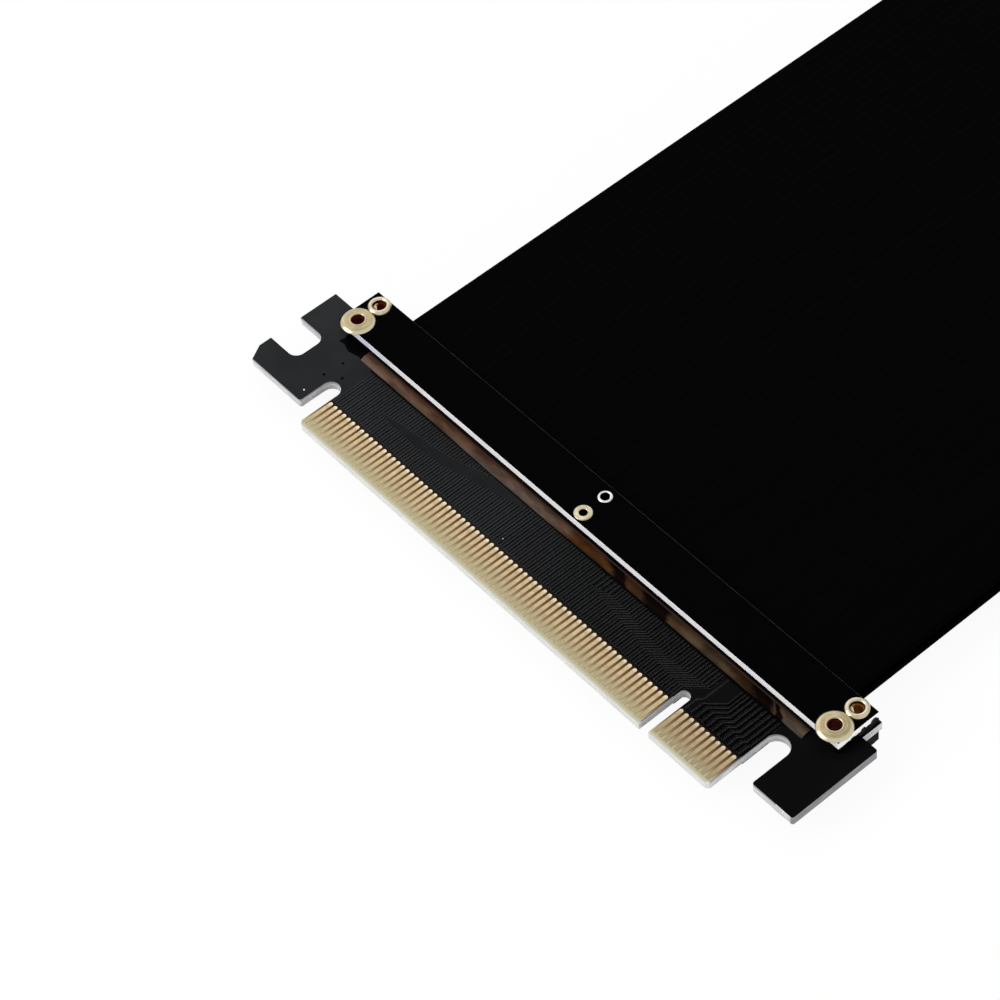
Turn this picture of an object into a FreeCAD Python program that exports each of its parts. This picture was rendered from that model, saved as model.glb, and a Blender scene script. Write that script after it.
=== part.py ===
import FreeCAD, Part
import math
import os

Vector = FreeCAD.Vector

# Driving dimensions, in millimetres and degrees

# Card edge: 82 contacts a side in two rows, with the key between them
contact_pitch = 1.0
long_row = 71
short_row = 11
key_step = 3.0
finger_width = 0.7
finger_front = 0.5
finger_length = 5.1
finger_height = 0.05
tab_margin = 0.65
tab_corner = 0.5
key_width = 1.9
key_depth = 8.0
bevel_length = 0.3
bevel_angle = 30.0

# Plug board: the hook ear is at the left, the foot ear at the right
board_thickness = 1.6
board_depth = 22.8
hook_slot_width = 3.0
hook_slot_depth = 8.4
hook_reach = 12.3
hook_front = 2.55
hook_back = 19.0
hook_chamfer_run = 1.3
hook_chamfer_rise = 2.3
ear_corner = 0.4
latch_front = 7.0
latch_width = 5.45
latch_reach = 5.7
latch_radius = 1.5
foot_slot_width = 3.8
foot_slot_depth = 12.2
foot_width = 7.5
foot_front = 4.2
foot_back = 19.3

# Ribbons, their bared wire pairs and the tape over the joints
ribbon_length = 200.0
ribbon_width = 90.3
ribbon_thickness = 1.0
ribbon_offset = 0.2
ribbon_edge = 0.35
ribbon_cover = 5.3
pair_count = 16
pair_width = 2.4
wire_size = 0.3
wire_length = 3.1
tape_thickness = 0.1
tape_grip = 0.65
tape_slope = 0.25
tape_lap = 0.2

# Clamp plates, the adhesive at their ends and the eyelets through the stack
plate_width = 7.3
plate_thickness = 1.2
plate_setback = 0.27
plate_end = 2.3
left_eyelet_gap = 4.3
right_eyelet_gap = 2.7
large_inset = 1.6
large_bore = 1.05
large_flange = 2.6
small_inset = 1.7
small_bore = 0.95
small_flange = 1.8
eyelet_wall = 0.2
eyelet_lip = 0.5
eyelet_clearance = 0.05
front_hole = 0.7
back_hole = 0.9
filler_gap = 0.2
filler_inset = 0.12

# Socket board and its upright slot
slot_gap = 3.85
socket_rear = 5.25
socket_corner = 1.5
screw_gap = 5.0
screw_radius = 1.6
screw_margin = 3.5
housing_end = 2.0
housing_width = 7.5
housing_height = 11.25
housing_corner = 0.6
slot_end_margin = 1.0
slot_width = 1.8
slot_depth = 8.9
slot_key = 1.7
slot_lead_in = 0.5
slot_lip = 1.5
web_width = 1.9
contact_width = 0.4
contact_thickness = 0.2
contact_gap = 1.2
contact_headroom = 1.15
nose_drop = 1.4
nose_rise = 1.8
base_clearance = 0.3
wall_clearance = 0.25

# Levels, from the table up
plate_bottom = eyelet_lip
board_bottom = plate_bottom + plate_thickness + ribbon_thickness
board_top = board_bottom + board_thickness
ribbon_top = board_top + ribbon_thickness
plate_top = ribbon_top + plate_thickness
board_middle = (board_bottom + board_top) / 2
housing_top = board_top + housing_height

# Places across the cable, from the middle of the contact row
row_half = ((long_row + short_row - 2) * contact_pitch + key_step) / 2
tab_half = row_half + tab_margin
key_x = (long_row - 1) * contact_pitch - row_half + key_step / 2
hook_inner = -tab_half - hook_slot_width
hook_tip = hook_inner - hook_reach
latch_bottom = hook_tip + latch_reach
latch_back = latch_front + latch_width
foot_inner = tab_half + foot_slot_width
foot_outer = foot_inner + foot_width
ribbon_left = ribbon_offset - ribbon_width / 2
ribbon_right = ribbon_offset + ribbon_width / 2
eyelet_xs = [ribbon_left - left_eyelet_gap, ribbon_right + right_eyelet_gap]
plate_left = eyelet_xs[0] - plate_end
plate_right = eyelet_xs[1] + plate_end
plate_middle = (plate_left + plate_right) / 2
strip_left = plate_left - plate_setback
strip_right = plate_right + plate_setback
chamber_end = row_half + slot_end_margin
housing_half = chamber_end + housing_end
screw_x = housing_half + screw_gap
socket_half = max(screw_x + screw_margin, strip_right, -strip_left)

# Places along the cable, from the mating edge of the card
plate_back = board_depth - plate_setback
plate_front = plate_back - plate_width
large_y = plate_front + large_inset
small_y = plate_back - small_inset
jacket_end = board_depth - ribbon_cover
wire_end = jacket_end - wire_length
tape_front = wire_end - tape_lap - tape_slope - tape_grip
cable_middle = board_depth + ribbon_length / 2
socket_edge = board_depth + ribbon_length
slot_y = 2 * cable_middle - tape_front + slot_gap + housing_width / 2
socket_back = slot_y + housing_width / 2 + socket_rear

# Widths inside the slot housing, from its middle
contact_base = web_width / 2 + base_clearance
chamber_half = contact_base + contact_thickness + wall_clearance

# The origin is on the table, in the middle of the part's box
box_left = min(hook_tip, -socket_half)
box_right = max(foot_outer, socket_half)
to_origin = Vector(-(box_left + box_right) / 2, -socket_back / 2, 0)


def block(x0, x1, y0, y1, z0, z1):
    return Part.makeBox(x1 - x0, y1 - y0, z1 - z0, Vector(x0, y0, z0))


def post(x, y, radius, z0, z1):
    return Part.makeCylinder(radius, z1 - z0, Vector(x, y, z0))


def rounded_plate(corners, z0, z1):
    # A flat plate; each corner is (x, y, radius) and a radius of 0 leaves it sharp
    edges = []
    last_end = None
    first_start = None
    for index, (x, y, radius) in enumerate(corners):
        here = Vector(x, y, z0)
        before = corners[index - 1]
        after = corners[(index + 1) % len(corners)]
        back = (Vector(before[0], before[1], z0) - here).normalize()
        ahead = (Vector(after[0], after[1], z0) - here).normalize()
        half_angle = back.getAngle(ahead) / 2
        start = here + back * (radius / math.tan(half_angle))
        end = here + ahead * (radius / math.tan(half_angle))
        if last_end is None:
            first_start = start
        elif last_end.distanceToPoint(start) > 1e-6:
            edges.append(Part.LineSegment(last_end, start).toShape())
        if radius > 0:
            middle = here + (back + ahead).normalize() * (radius / math.sin(half_angle) - radius)
            edges.append(Part.Arc(start, middle, end).toShape())
        last_end = end
    if last_end.distanceToPoint(first_start) > 1e-6:
        edges.append(Part.LineSegment(last_end, first_start).toShape())
    return Part.Face(Part.Wire(edges)).extrude(Vector(0, 0, z1 - z0))


def swept_profile(points, x0, x1):
    # A profile of (y, z) points drawn across the cable from x0 to x1
    wire = Part.makePolygon([Vector(x0, y, z) for y, z in points + points[:1]])
    return Part.Face(wire).extrude(Vector(x1 - x0, 0, 0))


def turned(points, x, y):
    # A profile of (radius, z) points turned about the upright line through x, y
    wire = Part.makePolygon([Vector(r, 0, z) for r, z in points + points[:1]])
    solid = Part.Face(wire).revolve(Vector(0, 0, 0), Vector(0, 0, 1), 360)
    solid.translate(Vector(x, y, 0))
    return solid


def on_lower_side(shape):
    return shape.mirror(Vector(0, 0, board_middle), Vector(0, 0, 1))


def at_socket_end(shape):
    return shape.mirror(Vector(0, cable_middle, 0), Vector(0, 1, 0))


def contact_places():
    places = [index * contact_pitch - row_half for index in range(long_row)]
    first_short = places[-1] + key_step
    return places + [first_short + index * contact_pitch for index in range(short_row)]


def eyelet_holes(z0, z1):
    holes = []
    for x in eyelet_xs:
        holes.append(post(x, large_y, large_bore + eyelet_wall + eyelet_clearance, z0, z1))
        holes.append(post(x, small_y, small_bore + eyelet_wall + eyelet_clearance, z0, z1))
    return holes


# Plug board with its hook ear, foot ear, key notch and bevelled mating edge
def make_plug_board():
    key_left = key_x - key_width / 2
    key_right = key_x + key_width / 2
    board = rounded_plate([
        (-tab_half, tab_corner, 0),
        (tab_corner - tab_half, 0, 0),
        (key_left, 0, 0),
        (key_left, key_depth, key_width / 2),
        (key_right, key_depth, key_width / 2),
        (key_right, 0, 0),
        (tab_half - tab_corner, 0, 0),
        (tab_half, tab_corner, 0),
        (tab_half, foot_slot_depth, foot_slot_width / 2),
        (foot_inner, foot_slot_depth, foot_slot_width / 2),
        (foot_inner, foot_front, ear_corner),
        (foot_outer, foot_front, ear_corner),
        (foot_outer, foot_back, ear_corner),
        (strip_right, foot_back, 0),
        (strip_right, board_depth, 0),
        (strip_left, board_depth, 0),
        (strip_left, hook_back, 0),
        (hook_tip, hook_back, 0),
        (hook_tip, latch_back, 0),
        (latch_bottom, latch_back, latch_radius),
        (latch_bottom, latch_front, latch_radius),
        (hook_tip, latch_front, 0),
        (hook_tip, hook_front + hook_chamfer_rise, 0),
        (hook_tip + hook_chamfer_run, hook_front, 0),
        (hook_inner, hook_front, ear_corner),
        (hook_inner, hook_slot_depth, hook_slot_width / 2),
        (-tab_half, hook_slot_depth, hook_slot_width / 2),
    ], board_bottom, board_top)
    bevel_drop = bevel_length * math.tan(math.radians(bevel_angle))
    wedge = swept_profile(
        [(0, board_top), (bevel_length, board_top), (0, board_top - bevel_drop)], -tab_half, tab_half)
    return board.cut([wedge, on_lower_side(wedge)] + eyelet_holes(board_bottom, board_top))


def make_fingers():
    half = finger_width / 2
    y0 = finger_front
    y1 = y0 + finger_length
    z1 = board_top + finger_height
    return Part.makeCompound([
        block(x - half, x + half, y0, y1, board_top, z1) for x in contact_places()])


# The clamp on the upper side of the plug: plate, filler, bared wire pairs and tape
def make_plate():
    return block(plate_left, plate_right, plate_front, plate_back, ribbon_top, plate_top)


def centre_holes():
    return [post(plate_middle, large_y, front_hole, ribbon_top, plate_top),
            post(plate_middle, small_y, back_hole, ribbon_top, plate_top)]


def make_fillers():
    # A bead of adhesive along each end of the plate, outside the eyelets
    reach = large_bore + eyelet_wall + eyelet_clearance + filler_gap
    y0 = plate_front + filler_inset
    y1 = plate_back - filler_inset
    return Part.makeCompound([
        block(plate_left + filler_inset, eyelet_xs[0] - reach, y0, y1, board_top, ribbon_top),
        block(eyelet_xs[1] + reach, plate_right - filler_inset, y0, y1, board_top, ribbon_top)])


def make_wire_ends():
    # Each bared pair of wires lies flat on the board with its ground wire between
    pair_pitch = ribbon_width / pair_count
    middles = [ribbon_left + (index + 0.5) * pair_pitch for index in range(pair_count)]
    half = pair_width / 2
    return Part.makeCompound([
        block(x - half, x + half, wire_end, jacket_end, board_top, board_top + wire_size)
        for x in middles])


def make_tape():
    # The tape grips the board, climbs over the wire ends and stops short of the jacket
    foot = wire_end - tape_lap
    low = board_top
    high = board_top + wire_size
    back = jacket_end - tape_lap
    return swept_profile([
        (tape_front, low),
        (foot - tape_slope, low),
        (foot, high),
        (back, high),
        (back, high + tape_thickness),
        (foot - tape_thickness / 2, high + tape_thickness),
        (foot - tape_slope - tape_thickness / 2, low + tape_thickness),
        (tape_front, low + tape_thickness),
    ], ribbon_left, ribbon_right)


def make_eyelet(x, y, bore, flange):
    # A hollow rivet with a domed flange at each end
    barrel = bore + eyelet_wall
    return turned([
        (bore, 0),
        (flange, plate_bottom),
        (barrel, plate_bottom),
        (barrel, plate_top),
        (flange, plate_top),
        (bore, plate_top + eyelet_lip),
    ], x, y)


def make_large_eyelets():
    return Part.makeCompound([make_eyelet(x, large_y, large_bore, large_flange) for x in eyelet_xs])


def make_small_eyelets():
    # The small flanges are cut away round the large ones beside them
    room = large_flange + eyelet_clearance
    eyelets = []
    for x in eyelet_xs:
        large_flanges = [post(x, large_y, room, 0, plate_bottom),
                         post(x, large_y, room, plate_top, plate_top + eyelet_lip)]
        eyelets.append(make_eyelet(x, small_y, small_bore, small_flange).cut(large_flanges))
    return Part.makeCompound(eyelets)


def make_ribbon():
    length = 2 * (cable_middle - jacket_end)
    strip = block(ribbon_left, ribbon_right, jacket_end, jacket_end + length, board_top, ribbon_top)
    long_edges = [edge for edge in strip.Edges if abs(edge.Length - length) < 1e-6]
    return strip.makeChamfer(ribbon_edge, long_edges)


def upright_edges(solid):
    return [edge for edge in solid.Edges if abs(edge.tangentAt(edge.FirstParameter).z) > 0.999]


# Socket board with two screw holes beside the slot
def make_socket_board():
    board = block(-socket_half, socket_half, socket_edge, socket_back, board_bottom, board_top)
    board = board.makeChamfer(socket_corner, upright_edges(board))
    return board.cut([
        post(x, slot_y, screw_radius, board_bottom, board_top) for x in (-screw_x, screw_x)])


# Slot housing: a long block with two contact chambers, a web under the card and a key between them
def make_slot_housing():
    half_width = housing_width / 2
    web_top = housing_top - slot_depth
    lip_bottom = housing_top - slot_lip
    y0 = slot_y - half_width
    y1 = slot_y + half_width
    body = block(-housing_half, housing_half, y0, y1, board_top, housing_top)
    body = body.makeChamfer(housing_corner, upright_edges(body))
    half_profile = [
        (slot_width / 2 + slot_lead_in, housing_top),
        (slot_width / 2, housing_top - slot_lead_in),
        (slot_width / 2, lip_bottom),
        (chamber_half, lip_bottom),
        (chamber_half, board_top),
        (web_width / 2, board_top),
        (web_width / 2, web_top),
    ]
    profile = [(slot_y + y, z) for y, z in half_profile]
    profile += [(slot_y - y, z) for y, z in reversed(half_profile)]
    return body.cut([
        swept_profile(profile, -chamber_end, key_x - slot_key / 2),
        swept_profile(profile, key_x + slot_key / 2, chamber_end),
    ])


def make_slot_contacts():
    # Each contact is an upright strip with a nose near its top that presses on the card
    contact_back = contact_base + contact_thickness
    contact_top = housing_height - slot_lip - contact_headroom
    nose_height = contact_top - nose_drop
    profile = [
        (contact_base, 0),
        (contact_back, 0),
        (contact_back, contact_top),
        (contact_gap / 2, nose_height),
        (contact_base, nose_height - nose_rise),
    ]
    placed = [(slot_y + y, board_top + z) for y, z in profile]
    half = contact_width / 2
    return Part.makeCompound([swept_profile(placed, x - half, x + half) for x in contact_places()])


def across_slot(shape):
    return shape.mirror(Vector(0, slot_y, 0), Vector(0, 1, 0))


def make_nodes():
    nodes = {"plug_board": make_plug_board(), "socket_board": make_socket_board()}
    nodes["plug_upper_contacts"] = make_fingers()
    nodes["plug_lower_contacts"] = on_lower_side(make_fingers())
    plate = make_plate()
    riveted_plate = plate.cut(eyelet_holes(ribbon_top, plate_top))
    nodes["plug_upper_plate"] = riveted_plate.cut(centre_holes())
    nodes["plug_lower_plate"] = on_lower_side(riveted_plate)
    nodes["socket_upper_plate"] = at_socket_end(plate)
    nodes["socket_lower_plate"] = at_socket_end(on_lower_side(plate))
    clamp = {"fillers": make_fillers(), "wire_ends": make_wire_ends(), "tape": make_tape()}
    for name, piece in clamp.items():
        nodes["plug_upper_" + name] = piece
        nodes["plug_lower_" + name] = on_lower_side(piece)
        nodes["socket_upper_" + name] = at_socket_end(piece)
        nodes["socket_lower_" + name] = at_socket_end(on_lower_side(piece))
    nodes["plug_large_eyelets"] = make_large_eyelets()
    nodes["plug_small_eyelets"] = make_small_eyelets()
    nodes["upper_ribbon"] = make_ribbon()
    nodes["lower_ribbon"] = on_lower_side(make_ribbon())
    nodes["slot_housing"] = make_slot_housing()
    nodes["slot_back_contacts"] = make_slot_contacts()
    nodes["slot_front_contacts"] = across_slot(make_slot_contacts())
    return nodes


os.makedirs("parts", exist_ok=True)
for node, shape in make_nodes().items():
    shape.translate(to_origin)
    shape.exportStep("parts/" + node + ".step")
    print(node, len(shape.Solids), round(shape.Volume, 2), shape.isValid())
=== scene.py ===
import bmesh
import bpy
import math
from mathutils import Matrix, Vector, noise


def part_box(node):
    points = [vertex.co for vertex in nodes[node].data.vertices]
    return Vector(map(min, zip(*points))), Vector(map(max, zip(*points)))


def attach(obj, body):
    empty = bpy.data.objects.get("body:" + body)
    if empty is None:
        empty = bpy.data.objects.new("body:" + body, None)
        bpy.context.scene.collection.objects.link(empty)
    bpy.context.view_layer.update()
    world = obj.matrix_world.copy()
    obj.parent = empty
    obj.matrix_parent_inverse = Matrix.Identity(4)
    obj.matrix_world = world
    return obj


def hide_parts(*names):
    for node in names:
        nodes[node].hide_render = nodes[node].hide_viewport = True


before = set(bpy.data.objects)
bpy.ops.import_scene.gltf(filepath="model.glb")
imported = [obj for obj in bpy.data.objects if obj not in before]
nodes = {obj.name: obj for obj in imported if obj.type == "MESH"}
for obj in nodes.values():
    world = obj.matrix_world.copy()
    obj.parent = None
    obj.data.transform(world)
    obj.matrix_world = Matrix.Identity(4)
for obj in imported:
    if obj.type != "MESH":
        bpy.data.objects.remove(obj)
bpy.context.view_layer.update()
mm = 0.001

boardLow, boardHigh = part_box("plug_board")
contactLow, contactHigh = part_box("plug_upper_contacts")
ribbonLow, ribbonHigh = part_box("upper_ribbon")
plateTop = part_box("plug_upper_plate")[1].z
tapeLow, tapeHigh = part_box("plug_upper_tape")
housingLow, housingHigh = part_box("slot_housing")
rowMiddle = (contactLow.x + contactHigh.x) / 2
matingEdge = boardLow.y
boardTop = boardHigh.z
boardMiddle = (boardLow.z + boardHigh.z) / 2
cableMiddle = (ribbonLow.y + ribbonHigh.y) / 2
slotY = (housingLow.y + housingHigh.y) / 2
touching = 0.01 * mm  # closer than this counts as the same place
everySide = [(end, side) for end in ("plug", "socket") for side in ("upper", "lower")]


# Millimetres from the middle of the contact row, the mating edge and the table
def at(x, y, z):
    return Vector((rowMiddle + x * mm, matingEdge + y * mm, z * mm))


def between(x, stops):  # straight lines between (x, value) stops
    for (x0, v0), (x1, v1) in zip(stops, stops[1:]):
        if x <= x1:
            return v0 + (v1 - v0) * max(0.0, (x - x0) / (x1 - x0))
    return stops[-1][1]


def vertsOf(geom):
    return [item for item in geom if isinstance(item, bmesh.types.BMVert)]


def repeated(bm, steps):  # what bm holds, once more at every step
    first = bm.verts[:] + bm.edges[:] + bm.faces[:]
    for step in steps:
        made = bmesh.ops.duplicate(bm, geom=first)["geom"]
        bmesh.ops.translate(bm, vec=step, verts=vertsOf(made))


def flipped(bm, axis, level):  # mirror across a plane of the part
    size = Vector((1, 1, 1))
    size[axis] = -1
    pivot = Vector((0, 0, 0))
    pivot[axis] = level
    bmesh.ops.scale(bm, vec=size, space=Matrix.Translation(-pivot), verts=bm.verts)
    bmesh.ops.reverse_faces(bm, faces=bm.faces)


def onSide(bm, end, side):  # pieces are drawn on the plug's upper side
    if side == "lower":
        flipped(bm, 2, boardMiddle)
    if end == "socket":
        flipped(bm, 1, cableMiddle)


def outward(bm):
    bmesh.ops.recalc_face_normals(bm, faces=bm.faces)


def facedUp(bm):  # open sheets, with every face turned upward
    outward(bm)
    for face in bm.faces:
        if face.normal.z < 0:
            face.normal_flip()


def addBox(bm, size, middle):
    made = bmesh.ops.create_cube(bm, size=1.0)["verts"]
    bmesh.ops.scale(bm, vec=size, verts=made)
    bmesh.ops.translate(bm, vec=middle, verts=made)


def bevelled(bm, edges, width, segments, clamped=False):
    bmesh.ops.bevel(bm, geom=edges, offset=width * mm, offset_type="OFFSET", segments=segments, profile=0.5,
                    affect="EDGES", clamp_overlap=clamped, material=-1)


def addStrip(bm, path, width):  # a flat strip along a path, its width along the contact row
    half = Vector((width / 2, 0, 0))
    edge = bm.edges.new([bm.verts.new(path[0] - half), bm.verts.new(path[0] + half)])
    for before, after in zip(path, path[1:]):
        moved = vertsOf(bmesh.ops.extrude_edge_only(bm, edges=[edge])["geom"])
        bmesh.ops.translate(bm, vec=after - before, verts=moved)
        edge = bm.edges.get(moved)


def newObject(name, data):
    made = bpy.data.objects.new(name, data)
    bpy.context.scene.collection.objects.link(made)
    return made


def newMesh(name, bm):
    mesh = bpy.data.meshes.new(name)
    bm.to_mesh(mesh)
    bm.free()
    return mesh


def newPiece(name, bm, material, standsFor=(), sharp=40):
    mesh = newMesh(name, bm)
    for finish in material if isinstance(material, list) else [material]:
        mesh.materials.append(finish)
    mesh.polygons.foreach_set("use_smooth", [True] * len(mesh.polygons))
    mesh.set_sharp_from_angle(angle=math.radians(sharp))
    piece = newObject(name, mesh)
    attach(piece, "root")
    if standsFor:
        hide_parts(*standsFor)


# Node helpers: a socket is given a constant or the output of another node
def feed(tree, node, values):
    for key, value in values.items():
        if isinstance(value, bpy.types.NodeSocket):
            tree.links.new(value, node.inputs[key])
        elif value is not None:
            node.inputs[key].default_value = value


def put(tree, kind, values=None, **props):
    node = tree.nodes.new(kind)
    for key, value in props.items():
        setattr(node, key, value)
    feed(tree, node, values or {})
    return node


def emptyTree(owner):
    owner.use_nodes = True
    owner.node_tree.nodes.clear()
    return owner.node_tree


def newGroup(name, inputs, outputs):  # four numbers make a colour, one number a value
    tree = bpy.data.node_groups.new(name, "ShaderNodeTree")
    for label, value in inputs.items():
        kind = "NodeSocketColor" if isinstance(value, tuple) else "NodeSocketFloat"
        tree.interface.new_socket(name=label, in_out="INPUT", socket_type=kind).default_value = value
    for label in outputs:
        kind = "NodeSocketColor" if label == "Color" else "NodeSocketFloat"
        tree.interface.new_socket(name=label, in_out="OUTPUT", socket_type=kind)
    return tree, tree.nodes.new("NodeGroupInput").outputs, tree.nodes.new("NodeGroupOutput")


def newMaterial(name, **values):
    material = bpy.data.materials.new(name)
    tree = emptyTree(material)
    shader = put(tree, "ShaderNodeBsdfPrincipled", {label.replace("_", " "): value for label, value in values.items()})
    put(tree, "ShaderNodeOutputMaterial", {"Surface": shader.outputs["BSDF"]})
    return material, tree, shader


def finished(tree, shader, colour, rough, height, relief, strength=0.5):
    bump = put(tree, "ShaderNodeBump", {"Height": height, "Distance": relief, "Strength": strength})
    feed(tree, shader, {"Base Color": colour, "Roughness": rough, "Normal": bump.outputs[0]})


def math2(tree, operation, first, second=None, third=None):
    return put(tree, "ShaderNodeMath", {0: first, 1: second, 2: third}, operation=operation).outputs[0]


def mixed(tree, factor, first, second):
    return put(tree, "ShaderNodeMix", {0: factor, 6: first, 7: second}, data_type="RGBA").outputs[2]


def tinted(tree, colour, tint):  # one colour times another
    return put(tree, "ShaderNodeVectorMath", {0: colour, 1: tint}, operation="MULTIPLY").outputs[0]


def shaded(tree, colour, shade):  # a colour times a number
    return put(tree, "ShaderNodeVectorMath", {0: colour, "Scale": shade}, operation="SCALE").outputs[0]


def smoothStep(tree, value, low, high, lowOut=0.0, highOut=1.0):
    values = {0: value, 1: low, 2: high, 3: lowOut, 4: highOut}
    return put(tree, "ShaderNodeMapRange", values, interpolation_type="SMOOTHSTEP").outputs[0]


def band(tree, value, edges, base=0.0, peak=1.0):  # up between the first two edges, down between the last two
    rise = smoothStep(tree, value, edges[0], edges[1], base, peak)
    return math2(tree, "MULTIPLY", rise, smoothStep(tree, value, edges[2], edges[3], 1.0, base))


def ramp(tree, value, stops):
    node = put(tree, "ShaderNodeValToRGB", {0: value})
    elements = node.color_ramp.elements
    while len(elements) < len(stops):
        elements.new(0.5)
    for element, (place, colour) in zip(elements, stops):
        element.position = place
        element.color = (*colour, 1)
    return node.outputs[0]


def partNoise(tree, scale, detail=3.0, stretch=(1, 1, 1)):
    place = put(tree, "ShaderNodeTexCoord").outputs["Object"]
    spread = put(tree, "ShaderNodeMapping", {"Vector": place, "Scale": stretch}).outputs[0]
    return put(tree, "ShaderNodeTexNoise", {"Vector": spread, "Scale": scale, "Detail": detail}).outputs["Fac"]


def rowPlace(tree):  # millimetres across, along and up, as in at()
    place = put(tree, "ShaderNodeTexCoord").outputs["Object"]
    spread = put(tree, "ShaderNodeMapping", {"Vector": place, "Scale": (1 / mm, 1 / mm, 1 / mm),
                                             "Location": (-rowMiddle / mm, -matingEdge / mm, 0)})
    return put(tree, "ShaderNodeSeparateXYZ", {0: spread.outputs[0]}).outputs


def levelness(tree):  # 1 on level faces, 0 on walls
    normal = put(tree, "ShaderNodeNewGeometry").outputs["Normal"]
    return math2(tree, "ABSOLUTE", put(tree, "ShaderNodeSeparateXYZ", {0: normal}).outputs["Z"])


def grouped(tree, group, **values):
    return put(tree, "ShaderNodeGroup", values, node_tree=group).outputs


# Fine grain of a mask, a moulding or a jacket
def makeFineGrain():
    inputs = {"Scale": 3000.0, "Rough": 0.4, "Spread": 0.15}
    tree, given, out = newGroup("fineGrain", inputs, ["Roughness", "Height"])
    cloud = partNoise(tree, given["Scale"], 4.0)
    swing = math2(tree, "SUBTRACT", cloud, 0.5)
    rough = math2(tree, "MULTIPLY_ADD", swing, given["Spread"], given["Rough"])
    feed(tree, out, {"Roughness": rough, "Height": cloud})
    return tree


# Pale glass layers where a board is cut
def makeLaminateEdge():
    inputs = {"Face": (0, 0, 0, 1), "Pale": (0.8, 0.8, 0.8, 1), "Dull": (0.5, 0.5, 0.5, 1), "Level": 0.5}
    tree, given, out = newGroup("laminateEdge", inputs, ["Color", "Edge"])
    edge = math2(tree, "LESS_THAN", levelness(tree), given["Level"])
    fibre = smoothStep(tree, partNoise(tree, 420.0, 3.0, (1, 1, 9)), 0.38, 0.66)
    cut = mixed(tree, fibre, given["Dull"], given["Pale"])
    feed(tree, out, {"Color": mixed(tree, edge, given["Face"], cut), "Edge": edge})
    return tree


# Uneven plating on gold, brass and tin
def makePlating():
    inputs = {"Bright": (0.8, 0.6, 0.3, 1), "Deep": (0.5, 0.4, 0.2, 1), "Scale": 900.0, "Rough": 0.3}
    tree, given, out = newGroup("plating", inputs, ["Color", "Roughness", "Height"])
    cloud = partNoise(tree, given["Scale"], 4.0)
    colour = mixed(tree, smoothStep(tree, cloud, 0.3, 0.7), given["Deep"], given["Bright"])
    swing = math2(tree, "SUBTRACT", 0.5, cloud)
    rough = math2(tree, "MULTIPLY_ADD", swing, 0.3, given["Rough"])
    feed(tree, out, {"Color": colour, "Roughness": rough, "Height": cloud})
    return tree


fineGrain = makeFineGrain()
laminateEdge = makeLaminateEdge()
plating = makePlating()
platingRelief = 0.000004
toneSpan = 120  # millimetres across that a ramp of tones covers


# Pale and dull tone of a cut edge, with further pairs of tones laid over the first
def wallTones(tree, look, layers):
    pale, dull = look["wall"]
    for name, share in layers.items():
        pale, dull = [mixed(tree, share, under, over) for under, over in zip((pale, dull), look[name])]
    return {"Pale": pale, "Dull": dull}


boardLook = {"rough": 0.45, "specular": 0.008, "tabHalf": 42.4, "tapeShadowLine": (13.0, 13.25, 13.5, 13.7),
             "bareEnd": (5.67, 5.77), "bareSpan": 6.0,
             "wall": ((0.66, 0.66, 0.67, 1), (0.48, 0.475, 0.49, 1)),
             "underMaskShade": ((0.22, 0.21, 0.23, 1), (0.22, 0.21, 0.23, 1)),
             "front": ((0.68, 0.68, 0.67, 1), (0.60, 0.60, 0.59, 1)),
             "stripEnd": ((0.68, 0.68, 0.68, 1), (0.40, 0.40, 0.40, 1)),
             "footEnd": ((0.27, 0.27, 0.28, 1), (0.20, 0.20, 0.21, 1)),
             # the mask, line and gap-shade tones fall from the hook ear to the right: painted reflection
             "mask": [(0.03, (0.0200, 0.0213, 0.0222)), (0.12, (0.0180, 0.0193, 0.0204)),
                      (0.17, (0.0125, 0.0134, 0.0140)), (0.45, (0.0125, 0.0134, 0.0140)),
                      (0.58, (0.0056, 0.0060, 0.0063)), (0.80, (0.0030, 0.0031, 0.0034)),
                      (0.96, (0.0028, 0.0028, 0.0032))],
             "line": [(0.17, (0.0265, 0.0277, 0.0285)), (0.42, (0.0245, 0.0257, 0.0267)),
                      (0.52, (0.0170, 0.0179, 0.0186)), (0.68, (0.0134, 0.0138, 0.0143)),
                      (0.80, (0.0112, 0.0115, 0.0120))],
             "gap": [(0.17, (0.0060, 0.0064, 0.0067)), (0.42, (0.0042, 0.0045, 0.0048)),
                     (0.52, (0.0022, 0.0024, 0.0025)), (0.62, (0.0008, 0.0008, 0.0009)),
                     (0.80, (0.0004, 0.0004, 0.0005))],
             "substrate": [(0.0, (0.52, 0.515, 0.42)), (0.05, (0.455, 0.43, 0.30)), (0.14, (0.50, 0.43, 0.26)),
                           (0.26, (0.39, 0.30, 0.165)), (0.36, (0.28, 0.195, 0.10)), (0.60, (0.17, 0.105, 0.042)),
                           (0.80, (0.095, 0.055, 0.016)), (0.93, (0.02, 0.011, 0.004))]}


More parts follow.
